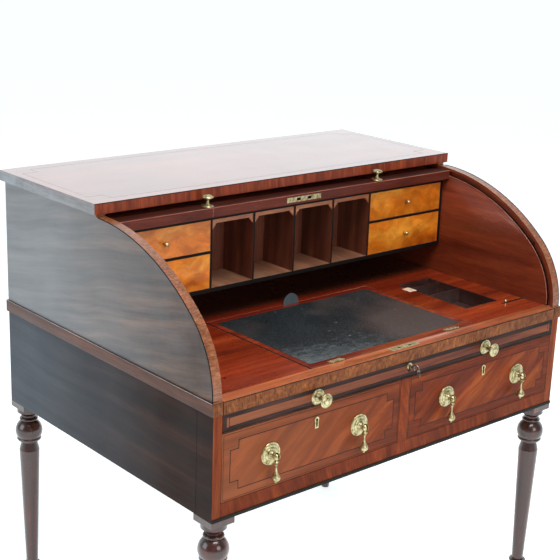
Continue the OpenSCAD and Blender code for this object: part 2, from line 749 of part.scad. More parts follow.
// A pear drop on an eye that turns on its pin
module drop(x) color(brass) seat() translate([x, -drop_reach, drawer_mid]) {
  difference() {
    union() {
      translate([-2, 0, 0]) rotate([0, 90, 0]) cylinder(h = 4, r = 5);
      rotate_extrude() intersection() {
        translate([0, -drop_l]) square([20, drop_l - 3]);
        union() {
          translate([0, -22]) square([1.9, 19]);
          translate([0, -drop_l + 13]) circle(8.5);
          polygon([[0, -18], [2.6, -20], [3.8, -drop_l + 30], [7.4, -drop_l + 17], [0, -drop_l + 14]]);
          translate([0, -drop_l]) square([2.8, 8]);
        }
      }
    }
    translate([-5, 0, 0]) rotate([0, 90, 0]) cylinder(h = 10, r = 1.95);
  }
}

module drop_handle_1() drop(-drawer_x - handle_pitch / 2);
module drop_handle_2() drop(-drawer_x + handle_pitch / 2);
module drop_handle_3() drop(drawer_x - handle_pitch / 2);
module drop_handle_4() drop(drawer_x + handle_pitch / 2);

module small_drawer(z0, z1) color(satinwood) seat() {
  w = small_w - 2 * small_gap;
  h = z1 - z0 - 2 * small_gap;
  d = nest_d - nest_back_t - 1.5;
  translate([small_x0 + small_w / 2, nest_y + 0.5, z0 + small_gap]) {
    translate([-w / 2, 0, 0]) cube([w, small_front_t, h]);
    translate([0, small_front_t, 0]) drawer_box(w, d - small_front_t, h - 4, small_side_t, 3);
    translate([0, 0, h / 2]) rotate([90, 0, 0]) { cylinder(h = 6, r = 2.5); translate([0, 0, 9]) sphere(r = 5.5); }
  }
}

module top_left_small_drawer() mirror([1, 0, 0]) small_drawer(shelf_z + small_shelf_t, nest_ceiling);
module low_left_small_drawer() mirror([1, 0, 0]) small_drawer(nest_floor, shelf_z);
module top_right_small_drawer() small_drawer(shelf_z + small_shelf_t, nest_ceiling);
module low_right_small_drawer() small_drawer(nest_floor, shelf_z);

top_board();
left_upper_side();
right_upper_side();
upper_back();
left_lower_side();
right_lower_side();
lower_back();
waist_band();
bottom_rail();
centre_muntin();
dust_board();
drawer_runners();
front_left_leg();
front_right_leg();
back_left_leg();
back_right_leg();
nest_top();
nest_bottom();
nest_uprights();
nest_back();
nest_valances();
lip_rail();
lip_knobs();
strike_plate();
slat_group(1);  // slats_01
slat_group(2);  // slats_02
slat_group(3);  // slats_03
slat_group(4);  // slats_04
slat_group(5);  // slats_05
slat_group(6);  // slats_06
slat_group(7);  // slats_07
slat_group(8);  // slats_08
slat_group(9);  // slats_09
slat_group(10);  // slats_10
slide_top();
slide_carcase();
slide_front();
slide_knobs();
pen_tray();
slide_lock();
lock_bolts();
key();
slope_board();
slope_leather();
slope_tab();
slope_hinges();
left_side_bolt();
right_side_bolt();
left_drawer();
right_drawer();
left_drawer_fittings();
right_drawer_fittings();
drop_handle_1();
drop_handle_2();
drop_handle_3();
drop_handle_4();
top_left_small_drawer();
low_left_small_drawer();
top_right_small_drawer();
low_right_small_drawer();
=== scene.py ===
import bmesh
import bpy
import json
import math
from mathutils import Matrix, Vector


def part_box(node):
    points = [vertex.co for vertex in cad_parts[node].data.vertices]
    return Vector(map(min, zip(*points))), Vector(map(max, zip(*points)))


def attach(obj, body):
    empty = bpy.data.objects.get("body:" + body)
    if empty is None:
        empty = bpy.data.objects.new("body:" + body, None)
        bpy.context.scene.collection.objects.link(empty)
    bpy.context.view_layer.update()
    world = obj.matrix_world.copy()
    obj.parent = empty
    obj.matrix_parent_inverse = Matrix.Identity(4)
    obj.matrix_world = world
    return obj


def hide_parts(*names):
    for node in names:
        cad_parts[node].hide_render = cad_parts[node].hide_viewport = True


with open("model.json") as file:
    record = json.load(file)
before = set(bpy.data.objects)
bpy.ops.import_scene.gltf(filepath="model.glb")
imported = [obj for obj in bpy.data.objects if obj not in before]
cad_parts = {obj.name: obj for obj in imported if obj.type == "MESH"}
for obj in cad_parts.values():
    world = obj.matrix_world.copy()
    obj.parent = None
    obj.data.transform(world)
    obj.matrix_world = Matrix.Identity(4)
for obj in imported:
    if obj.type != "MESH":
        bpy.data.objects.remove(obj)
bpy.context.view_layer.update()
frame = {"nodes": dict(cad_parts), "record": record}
nodes = frame["nodes"]
bodies = frame["record"]["behaviour"]["bodies"]
bodyOf = {node: body for body, members in bodies.items() for node in members}

mm = 0.001
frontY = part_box("left_lower_side")[0][1]      # front of the carcass
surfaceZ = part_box("slide_top")[1][2]          # height of the writing surface
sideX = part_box("right_lower_side")[1][0]      # outside of the carcass
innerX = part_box("right_lower_side")[0][0]     # inside of the carcass


def at(x, y, z):      # mm from the middle, back from the carcass front, and up from the writing surface
    return Vector((x * mm, frontY + y * mm, surfaceZ + z * mm))


# finishes: the small steps that every node tree is made of

def fromScreen(colour):      # screen colour, 0 to 255, to the shader's linear one
    linear = []
    for value in colour:
        v = value / 255
        linear.append(v / 12.92 if v <= 0.04045 else ((v + 0.055) / 1.055) ** 2.4)
    return (*linear, 1.0)


def grey(value):
    return (value, value, value, 1.0)


def newFinish(name):
    finish = bpy.data.materials.new(name)
    finish.use_nodes = True
    return finish, finish.node_tree, finish.node_tree.nodes["Principled BSDF"]


def addNode(tree, kind, inputs=None, **settings):
    node = tree.nodes.new(kind)
    for key, value in settings.items():
        setattr(node, key, value)
    for key, value in (inputs or {}).items():
        if isinstance(value, bpy.types.NodeSocket):
            tree.links.new(value, node.inputs[key])
        else:
            node.inputs[key].default_value = value
    return node


def addRamp(tree, factor, stops):
    ramp = addNode(tree, "ShaderNodeValToRGB", {"Fac": factor})
    elements = ramp.color_ramp.elements
    while len(elements) < len(stops):
        elements.new(0.5)
    for element, (place, colour) in zip(elements, stops):
        element.position = place
        element.color = colour if len(colour) == 4 else fromScreen(colour)
    return ramp.outputs["Color"]


def addMix(tree, factor, first, second, blend="MIX"):
    mix = addNode(tree, "ShaderNodeMix", data_type="RGBA", blend_type=blend)
    for index, value in ((0, factor), (6, first), (7, second)):
        if isinstance(value, bpy.types.NodeSocket):
            tree.links.new(value, mix.inputs[index])
        else:
            mix.inputs[index].default_value = value
    return mix.outputs[2]


def addNoise(tree, vector, scale, detail=2.0, roughness=0.5):
    inputs = {"Vector": vector, "Scale": scale, "Detail": detail, "Roughness": roughness}
    return addNode(tree, "ShaderNodeTexNoise", inputs).outputs[0]


def addStretch(tree, vector, scale, rotation=(0, 0, 0)):
    inputs = {"Vector": vector, "Scale": scale, "Rotation": rotation}
    return addNode(tree, "ShaderNodeMapping", inputs).outputs[0]


def addRange(tree, value, fromMin, fromMax, toMin=0.0, toMax=1.0):
    inputs = {"Value": value, "From Min": fromMin, "From Max": fromMax, "To Min": toMin, "To Max": toMax}
    return addNode(tree, "ShaderNodeMapRange", inputs).outputs[0]


def addMath(tree, operation, first, second):
    return addNode(tree, "ShaderNodeMath", {0: first, 1: second}, operation=operation).outputs[0]


def addVectorMath(tree, operation, first, second):
    return addNode(tree, "ShaderNodeVectorMath", {0: first, 1: second}, operation=operation).outputs[0]


def addAxis(tree, vector, axis):      # axis is 0, 1 or 2 for x, y or z
    return addNode(tree, "ShaderNodeSeparateXYZ", {0: vector}).outputs[axis]


def finishSurface(tree, shader, tone, rough, relief, strength, distance):
    inputs = {"Height": relief, "Strength": strength, "Distance": distance}
    bump = addNode(tree, "ShaderNodeBump", inputs).outputs[0]
    tree.links.new(tone, shader.inputs["Base Color"])
    tree.links.new(rough, shader.inputs["Roughness"])
    tree.links.new(bump, shader.inputs["Normal"])


def makeWood(name, look):
    finish, tree, shader = newFinish(name)
    alongGrain = "xyz".index(look["along"])
    place = addNode(tree, "ShaderNodeTexCoord").outputs["Object"]
    turned = addStretch(tree, place, (1, 1, 1), look.get("turn", (0, 0, 0)))

    # the grain wanders a little from a straight line
    inputs = {"Vector": turned, "Scale": look.get("driftScale", 3.0), "Detail": 2.0}
    drift = addNode(tree, "ShaderNodeTexNoise", inputs).outputs["Color"]
    centred = addVectorMath(tree, "SUBTRACT", drift, (0.5, 0.5, 0.5))
    swing = addVectorMath(tree, "MULTIPLY", centred, [look.get("drift", 0.03)] * 3)
    bent = addVectorMath(tree, "ADD", turned, swing)

    # growth rings, then open pores (fine across, long along), then the broad figure of the veneer
    stretch = [look.get("across", 38.0)] * 3
    stretch[alongGrain] = look.get("lengthwise", 1.6)
    rings = addNoise(tree, addStretch(tree, bent, stretch), 1.0, 6.0, 0.62)
    tone = addRamp(tree, rings, [(0.30, look["dark"]), (0.5, look["mid"]), (0.70, look["light"])])
    poreStretch = [900.0] * 3
    poreStretch[alongGrain] = 22.0
    pores = addNoise(tree, addStretch(tree, bent, poreStretch), 1.0)
    poreShade = addRamp(tree, pores, [(0.36, grey(look.get("pore", 0.45))), (0.5, grey(1.0))])
    tone = addMix(tree, look.get("poreAmount", 0.6), tone, poreShade, "MULTIPLY")
    figureMap = addStretch(tree, bent, look.get("figureStretch", (5.0, 5.0, 5.0)),
                           look.get("figureTurn", (0, 0, 0)))
    figure = addNoise(tree, figureMap, 1.0, 3.0)
    contrast = look.get("figure", 0.3)
    figureShade = addRamp(tree, figure, [(0.32, grey(1 - contrast)), (0.68, grey(1 + contrast))])
    tone = addMix(tree, 1.0, tone, figureShade, "MULTIPLY")

    if "dustAndSheen" in look:      # patches of a second tone: real dust and rubbing on some woods, painted sheen on the grey-blue sides and edges
        dust = addNoise(tree, turned, 6.0, 5.0, 0.7)
        dustAndSheenMask = addRamp(tree, dust, [(0.42, grey(0.0)), (0.75, grey(look["dustAndSheen"][1]))])
        tone = addMix(tree, dustAndSheenMask, tone, fromScreen(look["dustAndSheen"][0]))
    if "axisTone" in look:      # a second tone that comes on along one axis: painted sheen on the sides, a plain tone change on the other woods
        axisTone = look["axisTone"]
        grown = addRange(tree, addAxis(tree, place, axisTone["axis"]), axisTone["none"], axisTone["full"],
                         0.0, axisTone["amount"])
        patchy = addMath(tree, "MULTIPLY", grown, addMath(tree, "ADD", rings, 0.5))
        tone = addMix(tree, patchy, tone, fromScreen(axisTone["tone"]))
    if "shadeFrom" in look:      # painted shade on the part of the board that lies under the nest
        paintedShadeMask = addRange(tree, addAxis(tree, place, 1), look["shadeFrom"], look["shadeFrom"] + 0.03)
        tone = addMix(tree, paintedShadeMask, tone, fromScreen(look["shade"]))

    handling = addNoise(tree, turned, 9.0, 4.0)
    rough = addRange(tree, handling, 0.3, 0.7, *look.get("gloss", (0.28, 0.42)))
    relief = addMath(tree, "ADD", pores, rings)
    finishSurface(tree, shader, tone, rough, relief, 0.12, 0.0006)
    shader.inputs["Coat Weight"].default_value = look.get("polish", 0.35)
    shader.inputs["Coat Roughness"].default_value = look.get("polishRoughness", 0.12)
    shader.inputs["Specular IOR Level"].default_value = look.get("shine", 0.5)
    return finish


def makeMetal(name, look):
    finish, tree, shader = newFinish(name)
    place = addNode(tree, "ShaderNodeTexCoord").outputs["Object"]
    tarnish = addNoise(tree, place, 130.0, 5.0, 0.65)
    tone = addRamp(tree, tarnish, [(0.34, look["dark"]), (0.5, look["mid"]), (0.66, look["light"])])
    edge = addNode(tree, "ShaderNodeNewGeometry").outputs["Pointiness"]
    hollow = addRamp(tree, edge, [(0.44, grey(0.35)), (0.5, grey(1.0)), (0.56, grey(1.15))])
    tone = addMix(tree, 0.8, tone, hollow, "MULTIPLY")
    rough = addRange(tree, tarnish, 0.3, 0.7, *look["gloss"])
    finishSurface(tree, shader, tone, rough, tarnish, 0.15, 0.0003)
    shader.inputs["Metallic"].default_value = look.get("metal", 1.0)
    return finish


def makeLeather(name, look):
    finish, tree, shader = newFinish(name)
    place = addNode(tree, "ShaderNodeTexCoord").outputs["Object"]
    cells = addNode(tree, "ShaderNodeTexVoronoi", {"Vector": place, "Scale": 700.0}).outputs["Distance"]
    cloud = addNoise(tree, place, 7.0, 6.0, 0.7)
    tone = addRamp(tree, cloud, [(0.3, look["dark"]), (0.55, look["mid"]), (0.75, look["light"])])

    # grey rubbing where the arm rests, strongest at the front left
    fromLeft = addRange(tree, addAxis(tree, place, 0), 0.20, -0.24, 0.0, 0.5)
    fromFront = addRange(tree, addAxis(tree, place, 1), frontY + 0.20, frontY + 0.05, 0.0, 0.75)
    zone = addMath(tree, "MULTIPLY", fromLeft, fromFront)
    streakMap = addStretch(tree, place, (42.0, 90.0, 1.0))
    streak = addNoise(tree, streakMap, 1.0, 9.0, 0.8)
    rubbed = addMath(tree, "ADD", streak, zone)
    rubMask = addRamp(tree, rubbed, [(0.62, grey(0.0)), (1.0, grey(0.6))])
    tone = addMix(tree, rubMask, tone, fromScreen(look["rub"]))

    # a brown stain on the right half, then pale flecks and fine scuffs all over
    toRight = addRange(tree, addAxis(tree, place, 0), -0.05, 0.12, -0.12, 0.06)
    stain = addMath(tree, "ADD", addNoise(tree, place, 4.2), toRight)
    stainMask = addRamp(tree, stain, [(0.48, grey(0.0)), (0.66, grey(0.55))])
    tone = addMix(tree, stainMask, tone, fromScreen(look["stain"]))
    flecks = addNoise(tree, place, 60.0, 1.0)
    fleckMask = addRamp(tree, flecks, [(0.75, grey(0.0)), (0.80, grey(0.7))])
    tone = addMix(tree, fleckMask, tone, fromScreen(look["rub"]))
    scuffs = addNoise(tree, streakMap, 4.0, 6.0, 0.85)
    scuffMask = addRamp(tree, scuffs, [(0.50, grey(0.0)), (0.72, grey(0.42))])
    tone = addMix(tree, scuffMask, tone, fromScreen(look["rub"]))

    rough = addRange(tree, cloud, 0.3, 0.7, 0.48, 0.66)
    relief = addMath(tree, "ADD", cells, streak)
    finishSurface(tree, shader, tone, rough, relief, 0.35, 0.0004)
    shader.inputs["Specular IOR Level"].default_value = 0.35
    return finish


paleTowardsLeft = {"tone": (156, 92, 58), "amount": 0.5, "axis": 0, "none": 0.05, "full": -0.42}      # lighter towards the left end

# colours are screen ones; across and lengthwise are how often the grain changes in a metre
woodLooks = {
    "topMahogany": {"along": "x", "dark": (112, 44, 28), "mid": (142, 62, 40), "light": (165, 82, 54),
                    "polish": 1.0, "polishRoughness": 0.05, "gloss": (0.14, 0.22), "figure": 0.12},
    "topEdge": {"along": "z", "dark": (92, 32, 14), "mid": (128, 50, 22), "light": (156, 72, 34),
                "across": 90.0, "lengthwise": 8.0, "figure": 0.2, "figureStretch": (20.0, 20.0, 3.0),
                "polish": 0.05, "shine": 0.2},
    # the outer sides' grey-blue patches and grey-blue tone towards the back are painted sheen
    "sideMahogany": {"along": "y", "dark": (36, 21, 14), "mid": (70, 44, 29), "light": (112, 76, 50),
                     "across": 46.0, "lengthwise": 2.2, "drift": 0.035, "figure": 0.34,
                     "figureStretch": (4.0, 3.0, 14.0), "turn": (0.2, 0, 0), "polish": 0.16,
                     "polishRoughness": 0.28, "gloss": (0.36, 0.52), "dustAndSheen": ((112, 120, 128), 0.25),
                     "axisTone": {"tone": (138, 143, 147), "amount": 0.66, "axis": 1,
                               "none": frontY + 0.06, "full": frontY + 0.60}, "shine": 0.35},
    # the top board's side edges: a grey copy of the mahogany with blue-grey patches, all painted sheen
    "topSideSheen": {"along": "y", "dark": (90, 82, 80), "mid": (118, 116, 118), "light": (140, 142, 148),
                "across": 40.0, "lengthwise": 1.8, "figure": 0.15, "polish": 0.7, "polishRoughness": 0.25,
                "gloss": (0.34, 0.5), "dustAndSheen": ((160, 172, 184), 0.8)},
    # the grey-blue tone towards the back of the lower sides is painted sheen
    "lowerSideMahogany": {"along": "y", "dark": (26, 13, 8), "mid": (38, 19, 12), "light": (56, 31, 20),
                          "across": 40.0, "lengthwise": 2.0, "figure": 0.3,
                          "figureStretch": (4.0, 3.0, 12.0), "polish": 0.0, "gloss": (0.42, 0.58),
                          "axisTone": {"tone": (84, 92, 100), "amount": 0.7, "axis": 1,
                                    "none": frontY + 0.16, "full": frontY + 0.66}, "shine": 0.12},
    "waistMahogany": {"along": "y", "dark": (58, 30, 20), "mid": (80, 44, 30), "light": (104, 62, 44),
                      "across": 60.0, "lengthwise": 2.4, "figure": 0.2, "polish": 0.1,
                      "polishRoughness": 0.3, "gloss": (0.38, 0.5), "shine": 0.3},
    "innerMahogany": {"along": "y", "dark": (96, 38, 20), "mid": (122, 50, 28), "light": (146, 66, 36),
                      "across": 42.0, "lengthwise": 3.0, "figure": 0.2, "polish": 0.15},
    "edgeBanding": {"along": "x", "dark": (104, 54, 28), "mid": (146, 84, 48), "light": (176, 112, 70),
                    "across": 210.0, "lengthwise": 110.0, "drift": 0.05, "figure": 0.2,
                    "figureStretch": (40.0, 30.0, 30.0), "pore": 0.3, "poreAmount": 0.8,
                    "polish": 0.45, "polishRoughness": 0.22},
    "slideMahogany": {"along": "x", "dark": (104, 30, 12), "mid": (154, 56, 26), "light": (192, 88, 44),
                      "across": 26.0, "lengthwise": 1.4, "figure": 0.28, "figureStretch": (2.4, 9.0, 5.0),
                      "polish": 0.7, "polishRoughness": 0.1, "gloss": (0.22, 0.34),
                      # darker and redder towards the back, then painted shade where the board lies under the
                      # nest
                      "axisTone": {"tone": (108, 20, 12), "amount": 0.6, "axis": 1,
                                "none": frontY + 0.24, "full": frontY + 0.385},
                      "shade": (78, 42, 30), "shadeFrom": frontY + 0.398},
    "slopeBorder": {"along": "x", "dark": (104, 34, 18), "mid": (142, 52, 28), "light": (168, 74, 42),
                    "across": 60.0, "lengthwise": 2.0, "polish": 0.55, "gloss": (0.25, 0.38),
                    "axisTone": {"tone": (104, 20, 12), "amount": 0.7, "axis": 1,
                              "none": frontY + 0.30, "full": frontY + 0.385}},
    "railStrip": {"along": "x", "dark": (158, 78, 44), "mid": (188, 100, 58), "light": (206, 128, 82),
                  "across": 60.0, "lengthwise": 2.5, "polish": 0.6, "gloss": (0.25, 0.38)},
    "bandCrossing": {"along": "z", "dark": (96, 46, 18), "mid": (126, 68, 28), "light": (156, 94, 44),
                     "across": 120.0, "lengthwise": 85.0, "drift": 0.06, "figure": 0.22,
                     "figureStretch": (14.0, 14.0, 10.0), "pore": 0.3, "poreAmount": 0.8,
                     "polish": 0.05, "shine": 0.15},
    "rosewood": {"along": "x", "dark": (30, 17, 14), "mid": (52, 31, 26), "light": (78, 50, 42),
                 "across": 110.0, "lengthwise": 5.0, "figure": 0.25, "polish": 0.0, "gloss": (0.4, 0.55),
                 "shine": 0.15},
    "friezePanel": {"along": "x", "dark": (74, 32, 18), "mid": (106, 50, 28), "light": (134, 72, 42),
                    "across": 60.0, "lengthwise": 3.0, "figure": 0.3, "figureStretch": (3.0, 5.0, 9.0),
                    "polish": 0.05, "shine": 0.15, "axisTone": paleTowardsLeft},
    "drawerBorder": {"along": "x", "dark": (84, 28, 7), "mid": (108, 40, 11), "light": (132, 58, 18),
                     "across": 44.0, "lengthwise": 2.4, "figure": 0.22, "figureStretch": (9.0, 5.0, 16.0),
                     "polish": 0.0, "shine": 0.12, "gloss": (0.36, 0.5), "axisTone": paleTowardsLeft},
    "drawerFlame": {"along": "x", "dark": (84, 27, 6), "mid": (120, 47, 11), "light": (156, 76, 24),
                    "across": 34.0, "lengthwise": 3.2, "turn": (0, 0.62, 0), "drift": 0.08, "figure": 0.26,
                    "figureStretch": (4.0, 5.0, 22.0), "polish": 0.0, "shine": 0.12, "gloss": (0.36, 0.5),
                    "axisTone": paleTowardsLeft},
    "railCrossing": {"along": "z", "dark": (88, 32, 8), "mid": (114, 45, 13), "light": (138, 62, 22),
                     "across": 50.0, "lengthwise": 9.0, "drift": 0.06, "turn": (0, 0.3, 0), "figure": 0.28,
                     "figureStretch": (24.0, 24.0, 6.0), "polish": 0.0, "shine": 0.12,
                     "gloss": (0.4, 0.55)},
    "postMahogany": {"along": "z", "dark": (106, 42, 16), "mid": (136, 62, 28), "light": (162, 84, 42),
                     "across": 60.0, "lengthwise": 3.0, "figure": 0.2, "polish": 0.0, "shine": 0.12,
                     "gloss": (0.4, 0.55)},
    "lipFront": {"along": "x", "dark": (76, 29, 18), "mid": (98, 40, 27), "light": (120, 56, 39),
                 "across": 50.0, "lengthwise": 2.0, "figure": 0.18, "polish": 0.0, "shine": 0.2},
    "lipFace": {"along": "x", "dark": (50, 19, 12), "mid": (65, 26, 17), "light": (82, 37, 25),
                "across": 50.0, "lengthwise": 2.0, "figure": 0.15, "polish": 0.1, "gloss": (0.35, 0.5),
                "shine": 0.25},
    "slatMahogany": {"along": "x", "dark": (88, 34, 20), "mid": (120, 52, 32), "light": (146, 72, 46),
                     "across": 60.0, "lengthwise": 2.0, "figure": 0.2, "polish": 0.4},
    "satinwood": {"along": "x", "dark": (178, 80, 12), "mid": (220, 122, 26), "light": (248, 172, 62),
                  "across": 16.0, "lengthwise": 5.0, "drift": 0.10, "driftScale": 12.0, "figure": 0.2,
                  "figureStretch": (22.0, 9.0, 26.0), "figureTurn": (0, 0.7, 0), "poreAmount": 0.25,
                  "polish": 0.25, "gloss": (0.25, 0.38), "shine": 0.35},
    "nestWood": {"along": "z", "dark": (88, 43, 27), "mid": (116, 61, 41), "light": (142, 82, 56),
                 "across": 40.0, "lengthwise": 3.0, "figure": 0.15, "polish": 0.15, "gloss": (0.4, 0.55)},
    "nestFloor": {"along": "y", "dark": (116, 74, 54), "mid": (146, 98, 72), "light": (172, 120, 90),
                  "across": 50.0, "lengthwise": 4.0, "figure": 0.25, "polish": 0.1, "gloss": (0.42, 0.6),
                  "dustAndSheen": ((150, 130, 112), 0.3)},
    "valanceWood": {"along": "x", "dark": (146, 76, 36), "mid": (178, 100, 52), "light": (204, 128, 74),
                    "across": 60.0, "lengthwise": 5.0, "polish": 0.3},
    "ebonised": {"along": "x", "dark": (8, 6, 6), "mid": (14, 11, 10), "light": (24, 19, 17),
                 "across": 120.0, "lengthwise": 6.0, "figure": 0.15, "polish": 0.0,
                 "gloss": (0.5, 0.62), "shine": 0.2},
    "legMahogany": {"along": "z", "dark": (34, 12, 8), "mid": (56, 20, 13), "light": (96, 38, 24),
                    "across": 40.0, "lengthwise": 3.0, "figure": 0.3, "figureStretch": (12.0, 12.0, 5.0),
                    "polish": 0.8, "polishRoughness": 0.12, "gloss": (0.22, 0.34)},
    "carcassPine": {"along": "x", "dark": (104, 70, 44), "mid": (138, 98, 64), "light": (164, 124, 86),
                    "across": 34.0, "lengthwise": 1.6, "figure": 0.2, "polish": 0.0, "gloss": (0.55, 0.75),
                    "dustAndSheen": ((84, 66, 50), 0.5)},
    "drawerLining": {"along": "y", "dark": (112, 78, 50), "mid": (146, 108, 72), "light": (170, 134, 94),
                     "across": 34.0, "lengthwise": 1.8, "polish": 0.0, "gloss": (0.5, 0.7)},
    # pale lines on the bow grooves, the lip and the slope edges: painted highlights
    "paleHighlight": {"along": "x", "dark": (136, 66, 50), "mid": (170, 98, 78), "light": (196, 130, 108),
                 "across": 80.0, "lengthwise": 6.0, "polish": 0.4},
    # pale grey rods on the waist band's top edges: a painted highlight
    "arrisHighlight": {"along": "y", "dark": (96, 88, 86), "mid": (150, 148, 150), "light": (190, 194, 200),
                    "across": 80.0, "lengthwise": 8.0, "figure": 0.3, "polish": 0.6},
    "topLine": {"along": "x", "dark": (60, 30, 24), "mid": (84, 44, 36), "light": (104, 60, 50),
                "across": 80.0, "lengthwise": 8.0, "polish": 1.0, "polishRoughness": 0.05,
                "gloss": (0.14, 0.22)},
    "trayWood": {"along": "y", "dark": (44, 22, 16), "mid": (66, 36, 28), "light": (92, 56, 46),
                 "across": 50.0, "lengthwise": 3.0, "polish": 0.4, "dustAndSheen": ((108, 112, 116), 0.35)},
}
woods = {name: makeWood(name, look) for name, look in woodLooks.items()}
metalLooks = {
    "agedBrass": {"dark": (118, 106, 70), "mid": (192, 180, 134), "light": (224, 214, 176),
                  "gloss": (0.26, 0.42)},
    "dullBrass": {"dark": (112, 100, 68), "mid": (168, 156, 116), "light": (204, 194, 156),
                  "gloss": (0.38, 0.55), "metal": 0.7},
    "keySteel": {"dark": (70, 66, 62), "mid": (132, 126, 118), "light": (178, 172, 164),
                 "gloss": (0.28, 0.45)},
    "darkSteel": {"dark": (8, 7, 7), "mid": (16, 14, 13), "light": (30, 27, 25),
                  "gloss": (0.5, 0.65), "metal": 0.2},
    "ivory": {"dark": (206, 176, 146), "mid": (232, 208, 182), "light": (246, 230, 208),
              "gloss": (0.4, 0.6), "metal": 0.0},
}
metals = {name: makeMetal(name, look) for name, look in metalLooks.items()}
leatherLooks = {
    "deskLeather": {"dark": (9, 13, 17), "mid": (17, 24, 29), "light": (30, 39, 44),
                    "rub": (138, 148, 152), "stain": (92, 74, 68)},
    "tabLeather": {"dark": (58, 68, 74), "mid": (76, 88, 94), "light": (98, 110, 116),
                   "rub": (140, 148, 150), "stain": (70, 78, 84)},
}
leathers = {name: makeLeather(name, look) for name, look in leatherLooks.items()}
print("finishes made")


# making pieces

def addPiece(name, mesh, body, finishes):
    piece = bpy.data.objects.new(name, mesh)
    bpy.context.scene.collection.objects.link(piece)
    for finish in finishes:
        mesh.materials.append(finish)
    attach(piece, body)
    return piece


def paint(finish, *names):      # a node whose own shape is shown takes a finish
    for name in names:
        nodes[name].material_slots[0].material = finish


def endMesh(work, name, smoothBelow=20):
    mesh = bpy.data.meshes.new(name)
    bmesh.ops.recalc_face_normals(work, faces=work.faces)
    work.to_mesh(mesh)
    work.free()
    mesh.shade_smooth()
    mesh.set_sharp_from_angle(angle=math.radians(smoothBelow))
    return mesh


leastAngle = 0.5      # radians; an edge flatter than this is not softened


# the node's own shape with its arrises softened; choose(face) says which of the finishes a face gets
def easedCopy(node, finishes, choose=None, ease=0.8, segments=2):
    work = bmesh.new()
    work.from_mesh(nodes[node].data)
    bmesh.ops.remove_doubles(work, verts=work.verts, dist=2e-6)
    bmesh.ops.dissolve_limit(work, angle_limit=math.radians(0.6), verts=work.verts, edges=work.edges)
    if ease:
        kept = work.copy()
        sharp = [edge for edge in work.edges if edge.is_manifold and edge.calc_face_angle() > leastAngle]
        bmesh.ops.bevel(work, geom=sharp, offset=ease * mm, segments=segments, profile=0.5,
                        affect="EDGES", clamp_overlap=True)
        if any(not edge.is_manifold for edge in work.edges):
            print("left sharp:", node)
            work.free()
            work = kept
        else:
            kept.free()
    work.normal_update()
    if choose:
        for face in work.faces:
            face.material_index = choose(face)
    piece = addPiece(node + "_shown", endMesh(work, node), bodyOf[node], finishes)
    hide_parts(node)
    return piece


def facing(face, axis, sign=1, least=0.75):
    return face.normal["xyz".index(axis)] * sign > least


def mitred(points, closed):      # directions across a line of points, longer at its corners
    count = len(points)
    result = []
    for i, point in enumerate(points):
        before = points[i - 1] if closed or i else None
        after = points[(i + 1) % count] if closed or i < count - 1 else None
        first = (point - before).normalized() if before is not None else None
        second = (after - point).normalized() if after is not None else None
        first = first or second
        second = second or first
        across = Vector((-(first + second).y, (first + second).x)).normalized()
        straight = Vector((-first.y, first.x))
        result.append(across / max(0.35, across.dot(straight)))
    return result


# a let-in line or band: points lie in plane, which is (origin, along, up, out)
def ribbon(name, body, finish, points, width, plane, proud=0.12, sunk=0.4, closed=True):
    origin, along, up, out = plane
    flat = [Vector(point) for point in points]
    sides = mitred(flat, closed)
    work = bmesh.new()
    rows = []
    for point, side in zip(flat, sides):
        row = []
        for offset, depth in ((-0.5, -sunk), (0.5, -sunk), (0.5, proud), (-0.5, proud)):
            spot = point + side * width * offset
            row.append(work.verts.new(origin + (along * spot.x + up * spot.y + out * depth) * mm))
        rows.append(row)
    spans = len(rows) if closed else len(rows) - 1
    for i in range(spans):
        near, far = rows[i], rows[(i + 1) % len(rows)]
        for k in range(4):
            work.faces.new((near[k], near[(k + 1) % 4], far[(k + 1) % 4], far[k]))
    if not closed:
        work.faces.new(rows[0])
        work.faces.new(rows[-1])
    return addPiece(name, endMesh(work, name), body, [finish])


# a flat let-in panel of any outline
def plate(name, body, finish, points, plane, proud=0.08, sunk=0.4):
    origin, along, up, out = plane
    work = bmesh.new()
    low = [work.verts.new(origin + (along * x + up * y - out * sunk) * mm) for x, y in points]
    high = [work.verts.new(origin + (along * x + up * y + out * proud) * mm) for x, y in points]
    work.faces.new(low)
    work.faces.new(high)
    for i in range(len(points)):
        j = (i + 1) % len(points)
        work.faces.new((low[i], low[j], high[j], high[i]))
    return addPiece(name, endMesh(work, name), body, [finish])


# adds a solid turned about out; the profile is rows of (radius, height) in mm from place
def turn(work, profile, place, out, steps=64, petals=None):
    out = Vector(out).normalized()
    across = out.orthogonal().normalized()
    other = out.cross(across)
    rows = []
    for radius, height in profile:
        if radius < 0.001:
            rows.append([work.verts.new(place + out * height * mm)])
            continue
        row = []
        for k in range(steps):
            angle = 2 * math.pi * k / steps
            lift = 0
            if petals and petals["from"] <= radius <= petals["to"] and height > petals["above"]:
                lift = petals["depth"] * (abs(math.cos(petals["count"] * angle / 2)) - 0.5)
            spot = across * math.cos(angle) + other * math.sin(angle)
            row.append(work.verts.new(place + (spot * radius + out * (height + lift)) * mm))
        rows.append(row)
    for near, far in zip(rows, rows[1:]):
        for k in range(steps):
            j = (k + 1) % steps
            if len(near) == 1:
                work.faces.new((near[0], far[k], far[j]))
            elif len(far) == 1:
                work.faces.new((near[k], near[j], far[0]))
            else:
                work.faces.new((near[k], near[j], far[j], far[k]))
    for row in (rows[0], rows[-1]):
        if len(row) > 1:
            work.faces.new(row)


